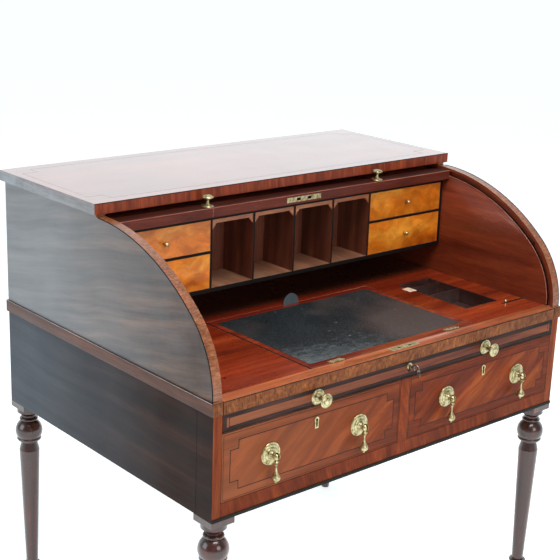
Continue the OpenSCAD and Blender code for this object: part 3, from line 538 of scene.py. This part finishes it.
# adds a round ring that lies in the plane of across and other
def hoop(work, place, across, other, big, small, steps=48, sides=14):
    out = across.cross(other)
    rows = []
    for k in range(steps):
        angle = 2 * math.pi * k / steps
        spoke = across * math.cos(angle) + other * math.sin(angle)
        row = []
        for i in range(sides):
            lean = 2 * math.pi * i / sides
            row.append(work.verts.new(place + (spoke * (big + small * math.cos(lean))
                                               + out * small * math.sin(lean)) * mm))
        rows.append(row)
    for k in range(steps):
        near, far = rows[k], rows[(k + 1) % steps]
        for i in range(sides):
            j = (i + 1) % sides
            work.faces.new((near[i], near[j], far[j], far[i]))


def rod(name, body, finish, points, radius):      # a thin round strip along points
    curve = bpy.data.curves.new(name, "CURVE")
    curve.dimensions = "3D"
    line = curve.splines.new("POLY")
    line.points.add(len(points) - 1)
    for spot, point in zip(line.points, points):
        spot.co = (*point, 1)
    curve.bevel_depth = radius * mm
    curve.bevel_resolution = 3
    curve.use_fill_caps = True
    piece = bpy.data.objects.new(name, curve)
    bpy.context.scene.collection.objects.link(piece)
    curve.materials.append(finish)
    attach(piece, body)
    return piece


def oblong(lowX, highX, lowY, highY):
    return [(lowX, lowY), (highX, lowY), (highX, highY), (lowX, highY)]


def bitten(lowX, highX, lowY, highY, cutX, cutY):      # an oblong with square bites out of its corners
    leftX, rightX = lowX + cutX, highX - cutX
    nearY, farY = lowY + cutY, highY - cutY
    return [(leftX, lowY), (rightX, lowY), (rightX, nearY), (highX, nearY), (highX, farY), (rightX, farY),
            (rightX, highY), (leftX, highY), (leftX, farY), (lowX, farY), (lowX, nearY), (leftX, nearY)]


topZ = 307      # top of the desk above the writing surface
alongX, alongY, alongZ = Vector((1, 0, 0)), Vector((0, 1, 0)), Vector((0, 0, 1))
frontPlane = (at(0, 0, 0), alongX, alongZ, -alongY)
topPlane = (at(0, 0, topZ), alongX, alongY, alongZ)
surfacePlane = (at(0, 0, 0), alongX, alongY, alongZ)

# top
topBoard = {"ease": 1.2, "sideMargin": 24, "frontMargin": 32, "bite": (38, 32), "line": 1.4, "arris": 0.9}


def topFace(face):
    if facing(face, "z"):
        return 0
    return 1 if facing(face, "y", -1) or facing(face, "y") else 2


easedCopy("top_board", [woods["topMahogany"], woods["topEdge"], woods["topSideSheen"]], topFace,
          topBoard["ease"])
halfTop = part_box("top_board")[1][0] / mm
topFront = (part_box("top_board")[0][1] - frontY) / mm
topBack = (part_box("top_board")[1][1] - frontY) / mm
ribbon("top_inlay", "carcass", woods["topLine"],
       bitten(-halfTop + topBoard["sideMargin"], halfTop - topBoard["sideMargin"],
              topFront + topBoard["frontMargin"], topBack - topBoard["frontMargin"], *topBoard["bite"]),
       topBoard["line"], topPlane)
rod("top_front_arris", "carcass", woods["ebonised"],
    [at(side * (halfTop - 0.5), topFront + 0.4, topZ - 0.6) for side in (-1, 1)], topBoard["arris"])
print("top made")

# sides and bands
bow = {"depth": 392, "height": 277, "nose": 205, "setback": 3.5, "ease": 1.0, "line": 1.1, "steps": 96,
       "groove": 19.6, "grooveLine": 0.9, "grooveDepth": 6.5}
bowSquares = bow["depth"] ** 2 - 2 * bow["depth"] * bow["nose"] + bow["height"] ** 2
crownRadius = bowSquares / (2 * (bow["height"] - bow["nose"]))      # the crown's arc runs on from the nose's


def bowOutline(inset=0.0):      # the curved edge as points (y, z), from its foot to its crown
    crownY, crownZ = bow["setback"] + bow["depth"], bow["height"] - crownRadius
    noseY = bow["setback"] + bow["nose"]
    meet = math.atan2(-crownZ, noseY - crownY)
    steps = bow["steps"] // 2
    points = []
    for i in range(steps + 1):
        angle = math.pi + (meet - math.pi) * i / steps
        radius = bow["nose"] - inset
        points.append((noseY + radius * math.cos(angle), radius * math.sin(angle)))
    for i in range(1, steps + 1):
        angle = meet + (math.pi / 2 - meet) * i / steps
        radius = crownRadius - inset
        points.append((crownY + radius * math.cos(angle), crownZ + radius * math.sin(angle)))
    return points


for side, sign in (("left", -1), ("right", 1)):
    # faces within the groove's depth of the inner face that don't face sideways, chiefly the groove's walls,
    # take the ebonised finish as painted shade
    def bowFace(face, sign=sign):
        if facing(face, "x", sign):
            return 0
        if facing(face, "x", -sign):
            return 1
        return 3 if abs(face.calc_center_median().x) < innerX + bow["grooveDepth"] * mm else 2

    easedCopy(side + "_upper_side",
              [woods["sideMahogany"], woods["innerMahogany"], woods["edgeBanding"], woods["ebonised"]],
              bowFace, bow["ease"])
    outer = sideX * sign / mm
    rod(side + "_bow_line", "carcass", woods["ebonised"],
        [at(outer - sign * 0.2, y, z) for y, z in bowOutline(0.3)], bow["line"])
    # a pale line along the groove's edge: painted highlight
    rod(side + "_groove_highlight", "carcass", woods["paleHighlight"],
        [at(sign * (innerX / mm + 0.1), y, z) for y, z in bowOutline(bow["groove"]) if z > 1],
        bow["grooveLine"])

    def lowerFace(face, sign=sign):
        if facing(face, "y", -1):
            return 1
        return 0 if facing(face, "x", sign) else 2

    easedCopy(side + "_lower_side",
              [woods["lowerSideMahogany"], woods["postMahogany"], woods["carcassPine"]], lowerFace, 1.0)


def waistFace(face):
    return 1 if facing(face, "y", -1) and face.calc_center_median().y < frontY else 0


easedCopy("waist_band", [woods["waistMahogany"], woods["bandCrossing"]], waistFace, 1.2, 3)
waist = {"line": 0.7, "joint": 52, "jointEnds": (-250, -28), "jointLine": 0.5}
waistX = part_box("waist_band")[1][0] / mm - 0.7
waistBack = (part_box("waist_band")[1][1] - frontY) / mm - 1
waistTop = (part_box("waist_band")[1][2] - surfaceZ) / mm - 0.6
for side, sign in (("left", -1), ("right", 1)):
    # pale rods on the waist band's top edges: painted highlights
    rod(side + "_waist_highlight", "carcass", woods["arrisHighlight"],
        [at(sign * waistX, y, waistTop) for y in (1, waistBack)], waist["line"])
    rod(side + "_side_joint", "carcass", woods["ebonised"],
        [at(sign * (sideX / mm - 0.1), waist["joint"], z) for z in waist["jointEnds"]], waist["jointLine"])
easedCopy("bottom_rail", [woods["railCrossing"]], None, 0.8)
easedCopy("centre_muntin", [woods["railCrossing"]], None, 0.6)
bottomEdge = {"foot": -251, "height": 7, "proud": 1.6}
plate("bottom_edge_line", "carcass", woods["ebonised"],
      oblong(-sideX / mm, sideX / mm, bottomEdge["foot"], bottomEdge["foot"] + bottomEdge["height"]),
      frontPlane, bottomEdge["proud"])
print("sides made")

# backs, dust board, runners and legs
# the backs' front faces take the dark tray wood: painted shade behind the space under the nest
for node in ("upper_back", "lower_back"):
    easedCopy(node, [woods["carcassPine"], woods["trayWood"]],
              lambda face: int(facing(face, "y", -1)), 0.6)
paint(woods["carcassPine"], "dust_board", "drawer_runners")
paint(woods["legMahogany"], "front_left_leg", "front_right_leg", "back_left_leg", "back_right_leg")


# nest of pigeonholes and small drawers

# front edges are ebony; the underside is painted near black as painted shade; up-facing faces take the paler
# floor wood, painted light from above with pale dust patches
def nestFace(face):
    if facing(face, "y", -1) or (facing(face, "z", -1) and face.calc_center_median().z < nestFoot):
        return 1
    return 2 if facing(face, "z") else 0


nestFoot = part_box("nest_bottom")[0][2] + 1 * mm
for node in ("nest_top", "nest_bottom", "nest_uprights"):
    easedCopy(node, [woods["nestWood"], woods["ebonised"], woods["nestFloor"]], nestFace, 0.4)
paint(woods["nestWood"], "nest_back")
paint(woods["valanceWood"], "nest_valances")


def smallDrawerFace(face):
    middle = face.calc_center_median()
    if middle.y < smallFront - 0.2 * mm:
        return 1
    return 0 if facing(face, "y", -1) and middle.y < smallFront + 2 * mm else 2


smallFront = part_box("nest_top")[0][1] + 0.5 * mm
for node in ("top_left_small_drawer", "low_left_small_drawer", "top_right_small_drawer",
             "low_right_small_drawer"):
    easedCopy(node, [woods["satinwood"], metals["agedBrass"], woods["drawerLining"]], smallDrawerFace, 0.4)
print("nest made")


# roll

# the lip's up-facing face takes a darker copy of its wood than the front: the two tones are painted light
# and shade
def lipFaceOf(face):
    return 0 if facing(face, "z") else 1


easedCopy("lip_rail", [woods["lipFace"], woods["lipFront"]], lipFaceOf, 1.4, 3)
paint(metals["dullBrass"], "strike_plate")
lip = {"y": 377.9, "z": 263.7, "lean": math.radians(2.14), "face": 8.5, "arris": (-17.3, 7.8),
       "front": -18.0, "line": 0.7, "joint": -256, "jointEnds": (6.5, -13), "jointLine": 0.45}
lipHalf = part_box("lip_rail")[1][0] / mm
lipOut = Vector((0, -math.sin(lip["lean"]), math.cos(lip["lean"])))
lipBack = Vector((0, math.cos(lip["lean"]), math.sin(lip["lean"])))


def lipSpot(x, back, out):      # a place on the lip rail, from the middle of its section
    return at(x, lip["y"], lip["z"]) + (lipBack * back + lipOut * out) * mm


# pale lines along the lip's arris and across its joint: painted highlights
rod("lip_arris_highlight", "roll_lip", woods["paleHighlight"],
    [lipSpot(side * (lipHalf - 1), *lip["arris"]) for side in (-1, 1)], lip["line"])
rod("lip_joint", "roll_lip", woods["paleHighlight"],
    [lipSpot(lip["joint"], lip["front"], out) for out in lip["jointEnds"]], lip["jointLine"])
for k in range(1, 11):
    easedCopy("slats_%02d" % k, [woods["slatMahogany"]], None, 0)
print("roll made")


# writing slide

def slideFrontFace(face):
    middle = face.calc_center_median()
    if facing(face, "z") and middle.z > surfaceZ - 1 * mm:
        return 1
    return 0 if middle.y < frontY - 0.5 * mm else 2


easedCopy("slide_front", [woods["bandCrossing"], woods["railStrip"], woods["friezePanel"]],
          slideFrontFace, 0.8)
easedCopy("slide_top", [woods["slideMahogany"]], None, 0)
paint(woods["drawerLining"], "slide_carcase")
paint(woods["trayWood"], "pen_tray")
slide = {"band": 27, "bottom": -66, "border": 9.5, "line": 1.2, "lineInset": 10.1, "lineEnd": 16.1,
         "arris": (-2.7, -0.6, 0.9), "bead": (-0.2, -64.6, 1.4)}      # strips are (y, z, radius)
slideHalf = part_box("slide_front")[1][0] / mm
middle = slide["border"] / 2
ribbon("frieze_border", "writing_slide", woods["rosewood"],
       oblong(-slideHalf + middle, slideHalf - middle, slide["bottom"] + middle, -slide["band"] - middle),
       slide["border"], frontPlane, 0.15)
ribbon("frieze_line", "writing_slide", woods["ebonised"],
       oblong(-slideHalf + slide["lineEnd"], slideHalf - slide["lineEnd"],
              slide["bottom"] + slide["lineInset"], -slide["band"] - slide["lineInset"]),
       slide["line"], frontPlane, 0.2)
for name, finish, (y, z, radius) in (("slide_arris", "ebonised", slide["arris"]),
                                     ("frieze_bead", "rosewood", slide["bead"])):
    rod(name, "writing_slide", woods[finish],
        [at(side * (slideHalf - 0.5), y, z) for side in (-1, 1)], radius)

easedCopy("slope_board", [woods["slopeBorder"]], None, 0.5)
slope = {"half": 249, "front": 32, "back": 387, "gap": 3.8, "rearEdge": 1.8, "fine": 1.1, "finest": 0.8}
leftGap, rightGap = -slope["half"] - 1.8, slope["half"] + 1.6
slip = {"x": (307, 330), "y": (287, 316), "proud": 0.6}
slopeLines = (      # name, finish, first end, last end, width, and how proud the line stands
    # the dark strip in the slope's left gap is painted shade; the pale lines on the slope's edges are
    # painted highlights
    ("slope_left_gap_shade", "ebonised", (leftGap, slope["front"]), (leftGap, slope["back"]), slope["gap"], 0.6),
    ("slope_rear_edge", "paleHighlight", (-slope["half"] - 3, slope["back"] + 0.2),
     (slope["half"] + 2, slope["back"] + 0.2), slope["rearEdge"], 0.3),
    ("slope_right_edge", "paleHighlight", (rightGap, slope["front"]), (rightGap, slope["back"]),
     slope["fine"], 0.25),
    ("slope_left_fine", "paleHighlight", (leftGap - 2, slope["front"]), (leftGap - 2, slope["back"]),
     slope["finest"], 0.2),
)
for name, finish, first, last, width, proud in slopeLines:
    ribbon(name, "writing_slide", woods[finish], [first, last], width, surfacePlane,
           proud, 0.4, False)
plate("ivory_slip", "writing_slide", metals["ivory"], oblong(*slip["x"], *slip["y"]),
      surfacePlane, slip["proud"])
paint(leathers["deskLeather"], "slope_leather")
paint(leathers["tabLeather"], "slope_tab")
paint(metals["dullBrass"], "slope_hinges", "slide_lock")
paint(metals["agedBrass"], "left_side_bolt", "right_side_bolt")
paint(metals["darkSteel"], "lock_bolts")
paint(metals["keySteel"], "key")
print("slide made")

# drawers
drawer = {"inset": 20, "bite": (21, 18), "line": 1.5, "top": -69, "bottom": -213, "inner": 14.5,
          "outer": 503, "bead": 3.4, "beadLine": 0.8}


def drawerFace(face):
    middle = face.calc_center_median()
    return 0 if facing(face, "y", -1) and middle.y < frontY + 2 * mm else 1


for side, sign in (("left", -1), ("right", 1)):
    body = side + "_drawer"
    easedCopy(body, [woods["drawerBorder"], woods["drawerLining"]], drawerFace, 0.8)
    low, high = sorted((sign * drawer["inner"], sign * drawer["outer"]))
    inset = drawer["inset"]
    outline = bitten(low + inset, high - inset, drawer["bottom"] + inset, drawer["top"] - inset,
                     *drawer["bite"])
    ribbon(side + "_drawer_bead", body, woods["ebonised"],
           oblong(low + drawer["bead"], high - drawer["bead"], drawer["bottom"] + drawer["bead"],
                  drawer["top"] - drawer["bead"]), drawer["beadLine"], frontPlane, 0.2)
    plate(side + "_drawer_panel", body, woods["drawerFlame"], outline, frontPlane)
    ribbon(side + "_drawer_line", body, woods["ebonised"], outline, drawer["line"],
           frontPlane, 0.2)
print("drawers made")


# brass

def knobProfile(radius, height):      # stepped plate, waisted neck and a flat rosette head
    plateSteps = [(1.10, 0), (1.10, 1.1), (1.04, 1.9), (0.97, 1.5), (0.90, 1.9), (0.80, 2.9), (0.70, 3.2),
                  (0.60, 2.9), (0.50, 4.0), (0.36, 4.8), (0.29, 6.6)]
    head = [(0.27, 12.5), (0.33, 9.8), (0.56, 8.6), (0.84, 7.6), (0.96, 6.2), (1.0, 4.8), (0.985, 3.7),
            (0.93, 3.0), (0.86, 3.1), (0.81, 2.4), (0.72, 1.6), (0.62, 1.5), (0.54, 1.9), (0.46, 1.6),
            (0.40, 0.9), (0.24, 0.3), (0, 0.1)]
    return [(r * radius, h) for r, h in plateSteps] + [(r * radius, height - h) for r, h in head]


def knobPair(node, body, radius, height, spots, out):
    work = bmesh.new()
    petals = {"from": radius * 0.56, "to": radius * 0.83, "above": height - 3, "count": 14, "depth": 0.7}
    for spot in spots:
        turn(work, knobProfile(radius, height), spot, out, 84, petals)
    piece = addPiece(node + "_shown", endMesh(work, node, 40), body, [metals["agedBrass"]])
    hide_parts(node)


def keyhole(x, z, radius=3.2, half=2.1, foot=9.5):      # a round eye over a straight slot
    points = [(x + half, z - foot), (x + half, z + 3)]
    for i in range(13):
        angle = math.radians(-40 + 260 * i / 12)
        points.append((x + radius * math.cos(angle), z + 5 + radius * math.sin(angle)))
    return points + [(x - half, z + 3), (x - half, z - foot)]


knob = {"x": 258.75, "slideRadius": 15.5, "slideHeight": 31, "slideZ": -48.5, "lipRadius": 13,
        "lipHeight": 25}
knobPair("slide_knobs", "writing_slide", knob["slideRadius"], knob["slideHeight"],
         [at(side * knob["x"], 0, knob["slideZ"]) for side in (-1, 1)], (0, -1, 0))
knobPair("lip_knobs", "roll_lip", knob["lipRadius"], knob["lipHeight"],
         [lipSpot(side * knob["x"], 0, lip["face"]) for side in (-1, 1)], lipOut)

handle = {"spread": 122, "z": -140.5, "reach": 19, "holeZ": -104}
plateProfile = [(24.2, 0), (24.2, 1.6), (23.4, 2.5), (22.2, 2.1), (21.0, 2.4), (19.4, 3.3), (17.8, 3.9),
                (16.4, 3.7), (15.0, 4.0), (13.4, 5.2), (11.6, 5.9), (10.2, 5.8), (8.8, 6.4), (6.8, 7.8),
                (5.3, 9.6), (4.8, 12.6)]
dropProfile = [(1.8, 3.4), (2.0, 8.4), (4.2, 9.2), (5.6, 10.8), (5.9, 12.2), (4.9, 13.8), (2.7, 15.0),
               (2.3, 16.0), (3.3, 17.0), (3.3, 18.0), (2.2, 19.2), (2.0, 24.0), (2.3, 29.0), (3.2, 33.0),
               (4.9, 36.5), (7.2, 39.8), (8.9, 43.2), (9.3, 46.0), (8.7, 48.8), (6.8, 51.2), (4.2, 52.6),
               (2.3, 53.3), (2.1, 53.9), (2.8, 54.8), (2.5, 56.0), (0, 56.8)]
handleCount = 0
for side, sign in (("left", -1), ("right", 1)):
    body = side + "_drawer"
    paint(metals["agedBrass"], body + "_fittings")
    plates = bmesh.new()
    for step in (-1, 1):
        handleCount += 1
        x = sign * knob["x"] + step * handle["spread"]
        turn(plates, plateProfile, at(x, 0, handle["z"]), (0, -1, 0), 84,
             {"from": 14.5, "to": 17.9, "above": 3, "count": 20, "depth": 0.35})
        hung = bmesh.new()
        pin = at(x, -handle["reach"], handle["z"])
        hoop(hung, pin, Vector((0, 1, 0)), Vector((0, 0, 1)), 3.5, 1.5)
        turn(hung, dropProfile, pin, (0, 0, -1), 48)
        name = "drop_handle_%d" % handleCount
        drop = addPiece(name + "_shown", endMesh(hung, name, 40), name, [metals["agedBrass"]])
        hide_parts(name)
    addPiece(side + "_handle_plates", endMesh(plates, "plates", 40), body, [metals["agedBrass"]])
    # a dark keyhole shape over each escutcheon: painted shade in the keyhole
    plate(side + "_keyhole_shade", body, woods["ebonised"],
          keyhole(sign * knob["x"], handle["holeZ"]), frontPlane, 1.3)

keyRing = {"place": (9.5, -27, -48.5), "radius": 9.5, "wire": 0.7}
ring = bmesh.new()
hoop(ring, at(*keyRing["place"]), Vector((0.5, 0.86, 0)), Vector((0, 0.1, 1)).normalized(),
     keyRing["radius"], keyRing["wire"])
addPiece("key_ring", endMesh(ring, "key_ring", 60), "key", [metals["keySteel"]])
# a dark slot over the slide's keyhole: painted shade in the keyhole
slideKeyhole = {"x": (5.4, 10.6), "z": (-52, -37), "proud": 1.75}
plate("slide_keyhole_shade", "writing_slide", woods["ebonised"],
      oblong(*slideKeyhole["x"], *slideKeyhole["z"]), frontPlane, slideKeyhole["proud"])
print("brass made")

# floor, light and camera
stage = {"floor": (240, 246, 248), "glow": 0.6, "bright": (0.90, 0.97, 1.0), "dim": (0.20, 0.21, 0.22),
         "strength": 1.3, "brightest": (0.62, 0.74, -0.25)}
floorMesh = bpy.data.meshes.new("floor")
floorMesh.from_pydata([(-30, -30, 0), (30, -30, 0), (30, 30, 0), (-30, 30, 0)], [], [(0, 1, 2, 3)])
floor = bpy.data.objects.new("floor", floorMesh)
bpy.context.scene.collection.objects.link(floor)
floorFinish, _, floorShader = newFinish("studioFloor")
floorShader.inputs["Base Color"].default_value = fromScreen(stage["floor"])
floorShader.inputs["Roughness"].default_value = 0.9
floorShader.inputs["Emission Color"].default_value = fromScreen(stage["floor"])
floorShader.inputs["Emission Strength"].default_value = stage["glow"]
floorMesh.materials.append(floorFinish)

world = bpy.data.worlds.new("studio")
bpy.context.scene.world = world
world.use_nodes = True
sky = world.node_tree
direction = addNode(sky, "ShaderNodeTexCoord").outputs["Generated"]
towards = addNode(sky, "ShaderNodeVectorMath", {0: direction, 1: stage["brightest"]},
                  operation="DOT_PRODUCT").outputs["Value"]
tint = addMix(sky, addRange(sky, towards, -0.1, 0.62), (*stage["dim"], 1), (*stage["bright"], 1))
sky.links.new(tint, sky.nodes["Background"].inputs[0])
sky.nodes["Background"].inputs[1].default_value = stage["strength"]


lamps = {
    "overhead": {"place": (-0.5, -1.3, 3.6), "aim": (0, -0.1, 0.8), "size": 1.7, "power": 75,
                 "colour": (1.0, 0.97, 0.92)},
    "frontFill": {"place": (-0.2, -4.0, 1.9), "aim": (0, 0, 0.75), "size": 1.6, "power": 34,
                  "colour": (1.0, 0.98, 0.95)},
    "leftSheet": {"place": (-4.2, 1.2, 2.2), "aim": (0, 0, 0.8), "size": 2.6, "power": 60,
                  "colour": (0.92, 0.96, 1.0)},
}
for name, lamp in lamps.items():
    data = bpy.data.lights.new(name, "AREA")
    data.size = lamp["size"]
    data.energy = lamp["power"]
    data.color = lamp["colour"]
    light = bpy.data.objects.new(name, data)
    bpy.context.scene.collection.objects.link(light)
    light.location = lamp["place"]
    light.rotation_euler = (Vector(lamp["aim"]) - light.location).to_track_quat("-Z", "Y").to_euler()
    light.visible_camera = False

view = {"place": (-1878.4, -1723.3, 906.8), "turn": 41.16, "down": 16.74, "roll": 2.08, "lens": 80.4536}
cameraData = bpy.data.cameras.new("camera")
cameraData.sensor_width = 36
cameraData.lens = view["lens"]
camera = bpy.data.objects.new("camera", cameraData)
bpy.context.scene.collection.objects.link(camera)
heading, down, roll = (math.radians(view[key]) for key in ("turn", "down", "roll"))
ahead = Vector((math.sin(heading) * math.cos(down), math.cos(heading) * math.cos(down), -math.sin(down)))
level = Vector((math.cos(heading), -math.sin(heading), 0))
upright = level.cross(ahead)
right = level * math.cos(roll) + upright * math.sin(roll)
upward = upright * math.cos(roll) - level * math.sin(roll)
facingWay = Matrix((right, upward, -ahead)).transposed().to_4x4()
camera.matrix_world = Matrix.Translation(at(*view["place"])) @ facingWay
bpy.context.scene.camera = camera
bpy.context.scene.view_settings.view_transform = "Standard"
print("stage set")
